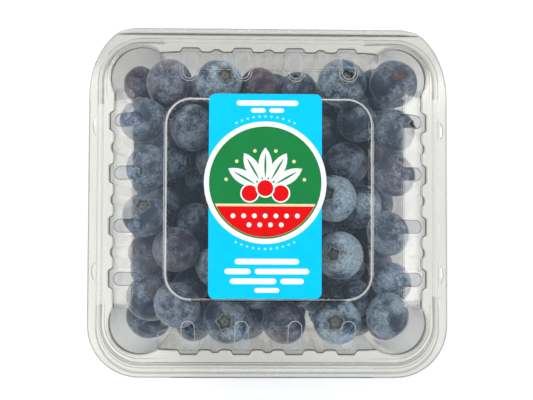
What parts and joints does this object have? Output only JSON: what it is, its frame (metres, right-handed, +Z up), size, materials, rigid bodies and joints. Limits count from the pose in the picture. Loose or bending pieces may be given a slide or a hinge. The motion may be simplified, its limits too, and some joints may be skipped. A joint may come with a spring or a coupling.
{
  "type": "punnet of blueberries",
  "caption": "Square clear clamshell punnet with a hinged, vented lid, a printed label on its raised roof, and a heap of blueberries inside.",
  "frame": {"origin": "on the floor under the middle of the shut punnet, hinge strip included", "axes": "+Z up, +Y to the hinge at the back, +X to the right as seen from the front"},
  "size_m": [0.124, 0.1206, 0.0614],
  "materials": {
    "clear_plastic": "clear, thin, glossy formed sheet",
    "label_paper": "printed satin paper",
    "berry_skin": "matt waxy bloom over dark blue skin"
  },
  "bodies": {
    "tray": {"tray": "clear_plastic", "berries": "berry_skin"},
    "lid": {"lid": "clear_plastic", "label": "label_paper"}
  },
  "joints": [
    {"name": "lid_hinge", "type": "hinge", "parent": "tray", "child": "lid", "pos_m": [0, 0.06045, 0.05015], "axis": [-1, 0, 0], "range_deg": [0, 180]}
  ]
}
